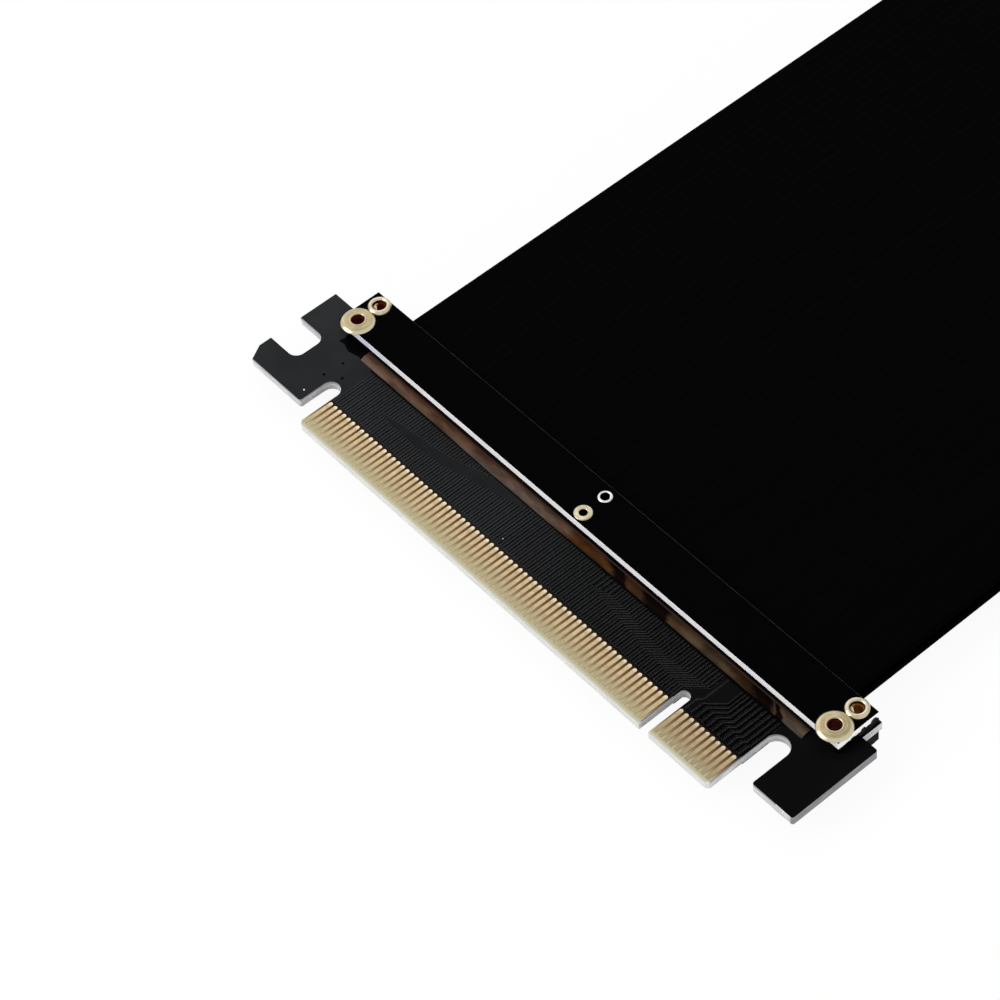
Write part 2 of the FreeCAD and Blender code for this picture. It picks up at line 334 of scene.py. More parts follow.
def maskMaterial(name, tones="mask", bareTab=False):
    look = boardLook
    material, tree, shader = newMaterial(name, Specular_IOR_Level=look["specular"])
    x, y, z = rowPlace(tree)
    tone = ramp(tree, math2(tree, "MULTIPLY_ADD", x, 1 / toneSpan, 0.5), look[tones])  # painted reflection: greyest on the hook ear and darker to the right
    cloud = smoothStep(tree, partNoise(tree, 160.0), 0.2, 0.7, 0.85, 1.1)
    rearward = smoothStep(tree, y, 8.0, 18.0, 1.0, 1.2 if tones == "mask" else 0.6)
    shade = math2(tree, "MULTIPLY", cloud, rearward)
    onTab = math2(tree, "LESS_THAN", math2(tree, "ABSOLUTE", x), look["tabHalf"])
    line = math2(tree, "MULTIPLY", band(tree, y, look["tapeShadowLine"]), onTab)  # painted shadow: a dark line in front of the tape's edge
    shade = math2(tree, "MULTIPLY", shade, math2(tree, "MULTIPLY_ADD", line, -0.85, 1.0))
    if tones == "mask":  # the mask is drawn near black on its tilted rim faces
        rim = math2(tree, "LESS_THAN", levelness(tree), 0.97)
        shade = math2(tree, "MULTIPLY", shade, math2(tree, "MULTIPLY_ADD", rim, -0.9, 1.0))
    face = shaded(tree, tone, shade)
    if bareTab:
        substrate = ramp(tree, math2(tree, "DIVIDE", y, look["bareSpan"]), look["substrate"])
        bare = math2(tree, "MULTIPLY", smoothStep(tree, y, *look["bareEnd"], 1.0, 0.0), onTab)
        face = mixed(tree, bare, face, substrate)
    wall = wallTones(tree, look, {
        "underMaskShade": smoothStep(tree, z, 3.75, 4.25),  # painted shade: walls are darkest just under the mask
        "front": smoothStep(tree, y, 0.3, 0.6, 1.0, 0.0),  # and whitest at the mating edge
        "stripEnd": smoothStep(tree, x, 50.3, 50.5),
        "footEnd": smoothStep(tree, x, 52.9, 53.2)})  # the foot's outer wall is darker
    cut = grouped(tree, laminateEdge, Face=face, **wall)
    grain = grouped(tree, fineGrain, Scale=2600.0, Rough=look["rough"], Spread=0.12)
    rough = math2(tree, "MAXIMUM", grain["Roughness"], math2(tree, "MULTIPLY", cut["Edge"], 0.7))
    finished(tree, shader, cut["Color"], rough, grain["Height"], 0.00001, 0.35)
    return material


plateLook = {"wall": ((0.97, 0.96, 0.97, 1), (0.86, 0.85, 0.87, 1)),
             "lilac": ((0.80, 0.79, 0.90, 1), (0.64, 0.62, 0.74, 1)),
             "backRimShade": ((0.20, 0.20, 0.20, 1), (0.15, 0.15, 0.15, 1)),
             "smeared": ((0.01, 0.01, 0.01, 1), (0.006, 0.006, 0.006, 1)),
             "backs": (22.0, 22.1, 223.5, 223.6), "level": 0.95}


def plateMaterial():
    look = plateLook
    material, tree, shader = newMaterial("plateMask", Specular_IOR_Level=0.006)
    face = mixed(tree, partNoise(tree, 300.0), (0.0003, 0.0003, 0.0003, 1), (0.0008, 0.0008, 0.0008, 1))
    x, y, z = rowPlace(tree)
    inside = smoothStep(tree, x, 50.2, 50.25, 1.0, 0.0)
    wall = wallTones(tree, look, {
        "lilac": smoothStep(tree, x, -46.0, -34.0, 1.0, 0.0),
        # painted shade: the plate's rear walls are dark
        "backRimShade": math2(tree, "MULTIPLY", band(tree, y, look["backs"]), inside),
        "smeared": smoothStep(tree, x, -50.9, -50.7, 1.0, 0.0)})  # the left end is smeared with adhesive
    cut = grouped(tree, laminateEdge, Face=face, Level=look["level"], **wall)
    grain = grouped(tree, fineGrain, Scale=2200.0, Rough=0.42, Spread=0.12)
    finished(tree, shader, cut["Color"], grain["Roughness"], grain["Height"], 0.00001, 0.3)
    return material


def metalMaterial(name, bright, deep, scale, rough, relief=platingRelief):
    material, tree, shader = newMaterial(name, Metallic=1.0)
    coat = grouped(tree, plating, Bright=(*bright, 1), Deep=(*deep, 1), Scale=scale, Rough=rough)
    finished(tree, shader, coat["Color"], coat["Roughness"], coat["Height"], relief)
    return material


eyeletLook = {"bright": (0.36, 0.297, 0.172, 1), "deep": (0.285, 0.228, 0.124, 1), "rim": (0.57, 0.51, 0.35, 1),
              "lip": (0.42, 0.335, 0.24, 1)}


def eyeletMaterial():
    look = eyeletLook
    material, tree, shader = newMaterial("eyeletBrass", Metallic=1.0)
    coat = grouped(tree, plating, Bright=look["bright"], Deep=look["deep"], Scale=700.0, Rough=0.22)
    fromMiddle = math2(tree, "ABSOLUTE", math2(tree, "SUBTRACT", rowPlace(tree)["Z"], boardMiddle / mm))
    level = math2(tree, "SUBTRACT", fromMiddle, (plateTop - boardMiddle) / mm)  # above the plate, on both sides
    # painted highlight: the flange's outer slope is paler
    colour = mixed(tree, smoothStep(tree, level, 0.26, 0.45, 1.0, 0.0), coat["Color"], look["rim"])
    colour = mixed(tree, smoothStep(tree, level, 0.47, 0.52), colour, look["lip"])
    finished(tree, shader, colour, coat["Roughness"], coat["Height"], platingRelief)
    return material


def boreShadeMaterial(name, left, right):  # painted shade inside the bores, dark red-brown brass, one colour at each end of the plate
    material, tree, shader = newMaterial(name, Metallic=1.0)
    bright = mixed(tree, smoothStep(tree, rowPlace(tree)["X"], -5.0, 5.0), left, right)
    deep = mixed(tree, 0.35, bright, (0, 0, 0, 1))
    coat = grouped(tree, plating, Bright=bright, Deep=deep, Scale=900.0, Rough=0.6)
    feed(tree, shader, {"Base Color": coat["Color"], "Roughness": coat["Roughness"]})
    return material


contactLook = {"bright": (0.54, 0.415, 0.255, 1), "deep": (0.445, 0.332, 0.195, 1), "worn": (0.37, 0.317, 0.19, 1),
               "tip": (0.71, 0.61, 0.47, 1),
               "dim": [(0.38, (1.0, 1.0, 1.0)), (0.55, (0.95, 0.945, 0.945)), (0.745, (0.95, 0.945, 0.945)),
                       (0.765, (0.80, 0.79, 0.80))]}


def contactMaterial():
    look = contactLook
    material, tree, shader = newMaterial("contactGold", Metallic=0.6, Specular_IOR_Level=0.1)
    coat = grouped(tree, plating, Bright=look["bright"], Deep=look["deep"], Scale=1500.0, Rough=0.45)
    x, y, z = rowPlace(tree)
    gold = mixed(tree, smoothStep(tree, y, 0.6, 4.0), look["worn"], coat["Color"])
    gold = mixed(tree, smoothStep(tree, y, 4.8, 5.5), gold, look["tip"])  # painted highlight: the rounded rear ends are the brightest
    dim = ramp(tree, math2(tree, "MULTIPLY_ADD", x, 1 / toneSpan, 0.5), look["dim"])
    finished(tree, shader, tinted(tree, gold, dim), coat["Roughness"], coat["Height"], 0.000006)
    return material


tapeLook = {"tones": [(0.0, (0.125, 0.083, 0.064)), (0.22, (0.085, 0.047, 0.031)), (0.38, (0.098, 0.078, 0.068)),
                      (0.475, (0.088, 0.066, 0.055)), (0.505, (0.048, 0.017, 0.004)), (0.78, (0.050, 0.034, 0.018)),
                      (0.866, (0.024, 0.013, 0.005)), (1.0, (0.090, 0.074, 0.060))],
            "depth": [(0.0, (0.12, 0.10, 0.08)), (0.03, (1.0, 1.0, 1.0)), (0.17, (1.0, 0.97, 0.94)),
                      (0.24, (1.02, 0.80, 0.66)), (0.34, (0.90, 0.64, 0.48)), (0.38, (0.55, 0.39, 0.30)),
                      (0.45, (0.12, 0.09, 0.07))],
            "rust": (0.055, 0.022, 0.007, 1), "olive": (0.066, 0.054, 0.036, 1), "bendSheen": (0.036, 0.030, 0.028, 1),
            "scorch": (0.0024, 0.0006, 0.0005, 1), "rusty": (-5.0, 3.0, 8.0, 14.0),
            "bend": (0.345, 0.385, 0.405, 0.44), "scorched": [(9.6, 2.3), (17.6, 2.6), (37.6, 3.2), (41.3, 1.0)]}


def tapeMaterial():
    look = tapeLook
    material, tree, shader = newMaterial("tapeAmber", Roughness=0.34, Specular_IOR_Level=0.01)
    x = rowPlace(tree)["X"]
    across = put(tree, "ShaderNodeAttribute", attribute_name="across").outputs["Fac"]
    drift = math2(tree, "SUBTRACT", partNoise(tree, 140.0, 3.0, (1, 2, 1)), 0.5)
    along = math2(tree, "MULTIPLY_ADD", x, 0.0111, 0.5)
    base = ramp(tree, math2(tree, "MULTIPLY_ADD", drift, 0.12, along), look["tones"])
    rusty = band(tree, x, look["rusty"], base=0.3)
    rust = math2(tree, "MULTIPLY", rusty, smoothStep(tree, partNoise(tree, 600.0, 2.0, (0.6, 1.2, 1)), 0.44, 0.60))
    base = mixed(tree, rust, base, look["rust"])
    olive = smoothStep(tree, partNoise(tree, 480.0, 2.0, (0.5, 0.9, 0.8)), 0.50, 0.64, 0.0, 0.6)
    base = mixed(tree, math2(tree, "MULTIPLY", olive, math2(tree, "SUBTRACT", 1.0, rusty)), base, look["olive"])
    blotch = smoothStep(tree, partNoise(tree, 420.0, 3.0, (0.5, 1.5, 1)), 0.35, 0.65, 0.62, 1.17)
    # depth tones: partly the tape's own reddish tint, partly painted shade along the front edge and under the plate
    depth = ramp(tree, math2(tree, "MULTIPLY_ADD", drift, 0.07, across), look["depth"])
    colour = shaded(tree, tinted(tree, base, depth), blotch)
    bent = math2(tree, "MULTIPLY_ADD", across, 5.0, math2(tree, "MULTIPLY_ADD", drift, 9.0, x))
    dark = 0.0
    for place, reach in look["scorched"]:
        away = math2(tree, "ABSOLUTE", math2(tree, "SUBTRACT", bent, place))
        dark = math2(tree, "MAXIMUM", dark, smoothStep(tree, away, reach * 0.45, reach * 1.1, 0.985, 0.0))
    colour = mixed(tree, dark, colour, look["scorch"])
    bendSheen = band(tree, across, look["bend"], peak=0.9)  # painted sheen: a pale line where it bends down beside the plate
    finished(tree, shader, mixed(tree, bendSheen, colour, look["bendSheen"]), None, partNoise(tree, 700.0, 2.0), 0.00003, 0.4)
    return material


blacks = {"fillerAndHoleShadeBlack": {"specular": 0.012, "cloud": (900.0, 3.0), "relief": 0.00015, "strength": 0.8,
                          "tones": ((0.0004, 0.0004, 0.0004, 1), (0.0016, 0.0016, 0.0018, 1)),
                          "grain": {"Scale": 1500.0, "Rough": 0.32, "Spread": 0.3}},
          "ribbonBlack": {"specular": 0.006, "cloud": (500.0, 3.0, (1, 0.04, 1)), "relief": 0.00004, "strength": 0.5,
                          "tones": ((0.0003, 0.0003, 0.0003, 1), (0.0009, 0.0009, 0.0009, 1)),
                          "grain": {"Scale": 1800.0, "Rough": 0.5, "Spread": 0.2}},
          "housingBlack": {"specular": 0.35, "cloud": (220.0, 3.0), "relief": 0.00003, "strength": 0.5,
                           "tones": ((0.008, 0.008, 0.009, 1), (0.014, 0.014, 0.015, 1)),
                           "grain": {"Scale": 4200.0, "Rough": 0.48, "Spread": 0.2}}}


def blackMaterial(name, fine=False):  # only a fine surface takes its relief from the grain
    look = blacks[name]
    material, tree, shader = newMaterial(name, Specular_IOR_Level=look["specular"])
    cloud = partNoise(tree, *look["cloud"])
    grain = grouped(tree, fineGrain, **look["grain"])
    finished(tree, shader, mixed(tree, cloud, *look["tones"]), grain["Roughness"], grain["Height"] if fine else cloud,
             look["relief"], look["strength"])
    return material


plugMask = maskMaterial("plugMask", bareTab=True)
socketMask = maskMaterial("socketMask")
traceMask = maskMaterial("traceMask", "line")
gapShadeMask = maskMaterial("gapShadeMask", "gap")
plateMask = plateMaterial()
contactGold = contactMaterial()
eyeletBrass = eyeletMaterial()
padBrass = metalMaterial("padBrass", (0.30, 0.245, 0.13), (0.21, 0.165, 0.082), 700.0, 0.28)
smallBrass = metalMaterial("smallBrass", (0.57, 0.50, 0.37), (0.45, 0.38, 0.25), 800.0, 0.22)
eyeletBoreShade = boreShadeMaterial("eyeletBoreShade", (0.28, 0.026, 0.026, 1), (0.26, 0.04, 0.022, 1))
smallBoreShade = boreShadeMaterial("smallBoreShade", (0.34, 0.035, 0.02, 1), (0.55, 0.25, 0.05, 1))
collarShadeBrass = metalMaterial("collarShadeBrass", (0.26, 0.20, 0.08), (0.15, 0.11, 0.035), 800.0, 0.3)
ringGold = metalMaterial("ringGold", (0.52, 0.47, 0.35), (0.34, 0.30, 0.19), 1300.0, 0.26, 0.00002)
ringTin = metalMaterial("ringTin", (0.72, 0.72, 0.72), (0.46, 0.46, 0.47), 900.0, 0.3, 0.00002)
springGold = metalMaterial("springGold", (0.74, 0.56, 0.30), (0.62, 0.45, 0.22), 1200.0, 0.3)
wireCopper = metalMaterial("wireCopper", (0.70, 0.36, 0.22), (0.52, 0.25, 0.14), 1500.0, 0.4)
solderTin = metalMaterial("solderTin", (0.62, 0.63, 0.65), (0.46, 0.47, 0.49), 1400.0, 0.32, 0.00002)
tapeAmber = tapeMaterial()
fillerAndHoleShadeBlack = blackMaterial("fillerAndHoleShadeBlack")
ribbonBlack = blackMaterial("ribbonBlack")
housingBlack = blackMaterial("housingBlack", fine=True)
print("materials made")


# Copies of CAD nodes with the edges between flat faces and walls rounded
softEdge = {"board": 0.14, "plate": 0.07, "housing": 0.16, "segments": 2, "wall": 0.2, "flat": 0.98, "sharp": 20}


def softPiece(name, node, width, material):
    look = softEdge
    bm = bmesh.new()
    bm.from_mesh(nodes[node].data)
    bmesh.ops.remove_doubles(bm, verts=bm.verts, dist=0.001 * mm)
    bmesh.ops.dissolve_limit(bm, angle_limit=math.radians(1), verts=bm.verts, edges=bm.edges)
    rims = []
    for edge in bm.edges:
        if len(edge.link_faces) == 2:
            levels = sorted(abs(face.normal.z) for face in edge.link_faces)
            if levels[0] < look["wall"] and levels[1] > look["flat"]:
                rims.append(edge)
    bevelled(bm, rims, width, look["segments"], clamped=True)
    newPiece(name, bm, material, [node], look["sharp"])


softPiece("plugBoard", "plug_board", softEdge["board"], plugMask)
softPiece("socketBoard", "socket_board", softEdge["board"], socketMask)
for end, side in everySide:
    softPiece(end + side.title() + "Plate", end + "_" + side + "_plate", softEdge["plate"], plateMask)
    wires = nodes[end + "_" + side + "_wire_ends"].data
    wires.materials.clear()
    wires.materials.append(wireCopper)
softPiece("slotHousing", "slot_housing", softEdge["housing"], housingBlack)
print("boards, plates and slot housing made")


contactRow = {"pitch": 1.0, "longRow": 71, "shortRow": 11, "keyStep": 3.0, "roundEnd": 0.3, "topEdge": 0.03,
              "width": 0.62}


def contactPlaces():
    row = contactRow
    half = ((row["longRow"] + row["shortRow"] - 2) * row["pitch"] + row["keyStep"]) / 2
    places = [index * row["pitch"] - half for index in range(row["longRow"])]
    start = places[-1] + row["keyStep"]
    return places + [start + index * row["pitch"] for index in range(row["shortRow"])]


places = contactPlaces()


def inRow(bm, row):  # what bm holds at the row's first place, once more at the others
    repeated(bm, [Vector(((x - row[0]) * mm, 0, 0)) for x in row[1:]])


def makeContacts(side):
    row = contactRow
    bm = bmesh.new()
    height = contactHigh.z - contactLow.z
    middle = Vector((rowMiddle + places[0] * mm, (contactLow.y + contactHigh.y) / 2,
                     (contactLow.z + contactHigh.z) / 2))
    addBox(bm, (row["width"] * mm, contactHigh.y - contactLow.y, height), middle)
    rear = [edge for edge in bm.edges if all(v.co.y > middle.y for v in edge.verts)
            and abs(edge.verts[0].co.z - edge.verts[1].co.z) > height / 2]
    bevelled(bm, rear, row["roundEnd"], 3)
    top = [edge for edge in bm.edges if all(v.co.z > middle.z for v in edge.verts)]
    bevelled(bm, top, row["topEdge"], 1)
    inRow(bm, places)
    onSide(bm, "plug", side)
    newPiece("plug" + side.title() + "Contacts", bm, contactGold, ["plug_" + side + "_contacts"])


for side in ("upper", "lower"):
    makeContacts(side)
print("contacts made")


# Fine copper lines that show through the mask, two to a contact, with dark strips of painted shadow between them
traceKinds = {"Traces": {"offsets": (-0.21, 0.21), "keyOffsets": (0.0,), "width": 0.21, "keyWidth": 0.21,
                         "height": 0.02},
              "TraceShadeStrips": {"offsets": (0.0, 0.5), "keyOffsets": (0.5,), "width": 0.26, "keyWidth": 0.39,
                            "height": 0.012}}
traceRun = {"front": 6.05, "back": 13.25, "socketFront": 9.4, "keySide": 31, "fanReach": 0.25, "fanSlope": 0.3,
            "jogFrom": 7.5, "jogLimit": 41.75, "leastJog": 0.05, "bandFrom": -36, "bandTo": -8, "leastBand": 0.15,
            "leastTail": 0.3,
            "jogStart": [(8, 10.4), (10, 10.15), (14, 9.6), (22, 8.3), (28, 8.1), (34, 8.1), (42, 7.6)],
            "jogShift": [(7.5, 0), (10, 1.2), (20, 1.5), (26, 1.9), (29, 2.4), (31, 0.6), (31.9, 0.6), (32.1, 2.5),
                         (33.5, 1.9), (34.5, 1.4), (36, 1.0), (38, 0.7), (41.8, 0.2)],
            "bandLow": [(-36, 9.3), (-33, 9.0), (-27, 8.9), (-22, 9.5), (-14, 11.2), (-9, 12.4), (-8, 13.25)],
            "bandHigh": [(-36, 9.3), (-31.7, 10.1), (-26, 10.6), (-22, 11.2), (-18, 12.4), (-14, 13.25), (-8, 13.25)]}


def plugPaths(x, z):
    run = traceRun
    front = at(x, run["front"], z)
    back = at(x, run["back"], z)
    shift = min(between(x, run["jogShift"]), run["jogLimit"] - x) if x > run["jogFrom"] else 0
    if shift > run["leastJog"]:  # the lines step sideways
        start = between(x, run["jogStart"])
        return [[front, at(x, start, z), at(x + shift, start + shift, z), at(x + shift, run["back"], z)]]
    low = between(x, run["bandLow"])
    high = between(x, run["bandHigh"])
    if run["bandFrom"] < x < run["bandTo"] and high - low > run["leastBand"]:  # a plain band crosses them
        tail = [[at(x, high, z), back]] if high < run["back"] - run["leastTail"] else []
        return [[front, at(x, low, z)]] + tail
    return [[front, back]]


def makeTraces(end, side, name, material):
    run = traceRun
    look = traceKinds[name]
    bm = bmesh.new()
    z = boardTop / mm
    for place in places:
        short = end == "plug" and place > run["keySide"]  # one line to a contact beside the key
        for offset in look["keyOffsets" if short else "offsets"]:
            x = place + offset
            slope = between(x + run["fanReach"], run["jogShift"]) - between(x - run["fanReach"], run["jogShift"])
            if end == "socket":  # straight from the slot to the tape, drawn before it goes to the socket end
                paths = [[at(x, run["socketFront"], z), at(x, run["back"], z)]]
            elif name == "TraceShadeStrips" and abs(slope) > run["fanSlope"]:  # lines fan out here
                paths = []
            else:
                paths = plugPaths(x, z)
            for path in paths:
                addStrip(bm, path, look["keyWidth" if short else "width"] * mm)
    facedUp(bm)
    top = bmesh.ops.extrude_face_region(bm, geom=bm.faces[:], use_keep_orig=False)["geom"]
    bmesh.ops.translate(bm, vec=(0, 0, look["height"] * mm), verts=vertsOf(top))
    onSide(bm, end, side)
    newPiece(end + side.title() + name, bm, material)


for end, side in everySide:
    makeTraces(end, side, "Traces", traceMask)
    # near-black strips of painted shadow between the lines
    makeTraces(end, side, "TraceShadeStrips", gapShadeMask)
print("traces made")


# Turned pieces: a profile of (radius, height) in millimetres spun about an upright line
def spun(bm, profile, x, y, steps):
    ring = [bm.verts.new((x + radius * mm, y, height * mm)) for radius, height in profile]
    edges = [bm.edges.new((ring[index - 1], ring[index])) for index in range(len(ring))]
    bmesh.ops.spin(bm, geom=ring + edges, cent=(x, y, 0), axis=(0, 0, 1), angle=2 * math.pi, steps=steps,
                   use_merge=True)


def finishedSpin(bm):
    bmesh.ops.remove_doubles(bm, verts=bm.verts, dist=0.0005 * mm)
    outward(bm)


# Heights are above the plate. Only the small eyelets have a ledge, on one side of their bores
largeEyelet = {"steps": 48, "flange": 2.6, "bore": 0.97, "mouth": 0.2, "ledgeTop": math.inf, "ledgeFoot": math.inf,
               "rise": [(0.95, -0.5), (0.95, 0.14), (0.95, 0.32), (0.98, 0.43), (1.04, 0.50), (1.13, 0.53),
                        (1.23, 0.51), (1.32, 0.47), (1.45, 0.455), (1.70, 0.445), (1.91, 0.41), (2.10, 0.35),
                        (2.26, 0.27), (2.40, 0.17), (2.50, 0.07), (2.54, 0.0), (1.25, 0.0)]}
smallEyelet = {"steps": 40, "flange": 1.8, "bore": 1.0, "mouth": 0.22, "ledgeTop": -0.19, "ledgeFoot": -0.36,
               "ledgeSide": Vector((-0.57, -0.82, 0)), "ledgeShare": 0.3, "throat": 0.9, "throatTop": -0.3,
               "pull": 0.46, "pullPower": 1.5, "stop": 2.575,
               "rise": [(0.86, -2.0), (0.86, -0.55), (0.87, -0.34), (0.92, -0.22), (0.95, -0.16), (0.95, 0.10),
                        (0.98, 0.28), (1.05, 0.41), (1.15, 0.49), (1.29, 0.51), (1.44, 0.48), (1.58, 0.39),
                        (1.68, 0.26), (1.75, 0.12), (1.78, 0.0), (1.15, 0.0)]}
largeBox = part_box("plug_large_eyelets")
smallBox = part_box("plug_small_eyelets")
largeY = largeBox[0].y + largeEyelet["flange"] * mm
smallY = smallBox[1].y - smallEyelet["flange"] * mm


def eyeletAxes(look, box):
    return box[0].x + look["flange"] * mm, box[1].x - look["flange"] * mm


def fromAxis(place, axes, y):  # the way out from the nearest axis, and the height above the plate
    axis = min(axes, key=lambda x: abs(x - place.x))
    return Vector((place.x - axis, place.y - y, 0)), abs(place.z - boardMiddle) - plateTop + boardMiddle


def makeEyelets(look, box, y):
    upper = [(radius, plateTop / mm + height) for radius, height in look["rise"]]
    lower = [(radius, 2 * boardMiddle / mm - height) for radius, height in reversed(upper)]
    axes = eyeletAxes(look, box)
    bm = bmesh.new()
    for x in axes:
        spun(bm, upper + lower, x, y, look["steps"])
    finishedSpin(bm)
    for face in bm.faces:  # the wall of the bore below its mouth takes the painted shade
        middle = face.calc_center_median()
        out, level = fromAxis(middle, axes, y)
        if out.length < look["bore"] * mm and middle.z < plateTop + look["mouth"] * mm:
            face.material_index = 1
            if level > look["ledgeTop"] * mm:
                face.material_index = 2  # the collar above the ledge, in painted shade
            elif level > look["ledgeFoot"] * mm and out.normalized().dot(look["ledgeSide"]) > look["ledgeShare"]:
                face.material_index = 0  # the ledge itself is bright
    return bm


def shapeSmallOnes(bm):
    look = smallEyelet
    for vert in bm.verts:
        out, level = fromAxis(vert.co, eyeletAxes(look, smallBox), smallY)
        if level > -touching:  # the small flange stops at the large one's slope
            vert.co.y = max(vert.co.y, largeY + look["stop"] * mm - max(0.0, level))
        elif level < look["throatTop"] * mm and out.length < look["throat"] * mm:
            away = out.normalized()  # the throat stands inward on the ledge's side
            vert.co -= away * max(0.0, away.dot(look["ledgeSide"])) ** look["pullPower"] * look["pull"] * mm


newPiece("plugLargeEyelets", makeEyelets(largeEyelet, largeBox, largeY), [eyeletBrass, eyeletBoreShade],
         ["plug_large_eyelets"], sharp=60)
smallOnes = makeEyelets(smallEyelet, smallBox, smallY)
shapeSmallOnes(smallOnes)
newPiece("plugSmallEyelets", smallOnes, [smallBrass, smallBoreShade, collarShadeBrass], ["plug_small_eyelets"],
         sharp=60)

platedHoles = {"x": -0.6, "steps": 36, "uneven": 0.08, "unevenScale": 1400, "unevenFrom": 0.02,
               "gold": [(0.60, -1.1), (0.60, 0.0), (0.63, 0.06), (0.70, 0.09), (0.84, 0.07), (1.02, 0.06),
                        (1.16, 0.09), (1.27, 0.08), (1.33, 0.04), (1.35, 0.0), (0.69, 0.0), (0.69, -1.1)],
               "tin": [(0.70, -1.1), (0.70, 0.0), (0.72, 0.06), (0.78, 0.10), (0.87, 0.11), (0.97, 0.08),
                       (1.05, 0.0), (0.89, 0.0), (0.89, -1.1)]}


def makePlatedHole(name, y, material):
    look = platedHoles
    x = rowMiddle + look["x"] * mm
    bm = bmesh.new()
    spun(bm, [(radius, plateTop / mm + height) for radius, height in look[name]], x, y, look["steps"])
    finishedSpin(bm)
    for face in bm.faces:  # painted shade: dark inside the hole
        if face.calc_center_median().z < plateTop - 0.001 * mm:
            face.material_index = 1
    for vert in bm.verts:  # the tin one was dipped by hand, so its rim is uneven
        if name == "tin" and vert.co.z > plateTop + look["unevenFrom"] * mm:
            swell = noise.noise(vert.co * look["unevenScale"]) * look["uneven"] * mm
            vert.co += Vector((vert.co.x - x, vert.co.y - y, 0)).normalized() * swell
    newPiece(name + "PlatedHole", bm, [material, fillerAndHoleShadeBlack], sharp=60)


makePlatedHole("gold", largeY, ringGold)
makePlatedHole("tin", smallY, ringTin)
print("eyelets and plated holes made")


# Tape over the soldered joints: it lies on the board, climbs the wire ends and runs under the plate
tapeSheet = {"columns": 180, "rows": 16, "thickness": 0.05, "blister": 0.03, "blisterScale": (0.5, 0.9), "ragged": 0.03,
             "raggedScale": 1.7, "grip": 0.1, "lift": 0.035, "climb": 0.30, "wireEnd": 14.3,
             "front": [(-45, 13.45), (-28, 13.40), (-19, 13.30), (-3, 13.32), (3, 13.42), (20, 13.48), (33, 13.50),
                       (45.4, 13.45)]}


def makeTape(end, side):
    sheet = tapeSheet
    bm = bmesh.new()
    bmesh.ops.create_grid(bm, x_segments=sheet["columns"], y_segments=sheet["rows"], size=0.5)
    backY = (tapeHigh.y - matingEdge) / mm
    left = (tapeLow.x - rowMiddle) / mm
    width = (tapeHigh.x - tapeLow.x) / mm
    across = bm.verts.layers.float.new("across")
    for vert in bm.verts:
        x = left + (vert.co.x + 0.5) * width
        share = vert.co.y + 0.5
        frontY = between(x, sheet["front"]) + noise.noise(Vector((x * sheet["raggedScale"], 0, 3))) * sheet["ragged"]
        y = frontY + (backY - frontY) * share
        climb = min(1.0, max(0.0, (y - frontY - sheet["grip"]) / (sheet["wireEnd"] - frontY - sheet["grip"])))
        height = boardTop / mm + sheet["lift"] + sheet["climb"] * climb * climb * (3 - 2 * climb)
        spread = Vector((x * sheet["blisterScale"][0], y * sheet["blisterScale"][1], 7))
        height += noise.noise(spread) * sheet["blister"] * climb
        vert[across] = share
        vert.co = at(x, y, height)
    facedUp(bm)
    bmesh.ops.solidify(bm, geom=bm.faces[:], thickness=sheet["thickness"] * mm)
    outward(bm)
    onSide(bm, end, side)
    newPiece(end + side.title() + "Tape", bm, tapeAmber, [end + "_" + side + "_tape"], sharp=50)


for end, side in everySide:
    makeTape(end, side)
print("tapes made")


# Adhesive pressed out between plate and board at the plate's ends
filler = {"cuts": 27, "reach": 0.63, "swell": 0.16, "swellScale": 900, "stand": 0.22, "climbFrom": 0.75,
          "lumps": [(0.22, 0.05, 0.14), (0.36, 0.06, 0.32), (0.49, 0.05, 0.20), (0.61, 0.07, 0.58), (0.74, 0.05, 0.25),
                    (0.88, 0.09, 0.78)],
          "lowerRise": 1.15, "film": (-50.0, -44.6, 13.45, 15.6), "filmHeight": 0.10, "filmSunk": 0.01, "filmRim": 8}


def lumpRise(share):  # how far the adhesive climbs the plate's end
    rise = 0.0
    for place, half, height in filler["lumps"]:
        rise = max(rise, height * math.sqrt(max(0.0, 1 - ((share - place) / half) ** 2)))
    return rise


def addFilm(bm):
    x0, x1, y0, y1 = filler["film"]
    for vert in bmesh.ops.create_grid(bm, x_segments=20, y_segments=12, size=0.5)["verts"]:
        across, along = vert.co.x + 0.5, vert.co.y + 0.5
        front = y0 + 0.45 * noise.noise(Vector((across * 3.1, 1.0, 0)))
        x = x0 + 0.3 * noise.noise(Vector((along * 3.0, 2.0, 0))) + across * (x1 - x0)
        rim = min(1.0, min(across, 1 - across, along) * filler["filmRim"])
        height = boardTop / mm + filler["filmHeight"] * rim - filler["filmSunk"]
        vert.co = at(x, front + along * (y1 - front), height)


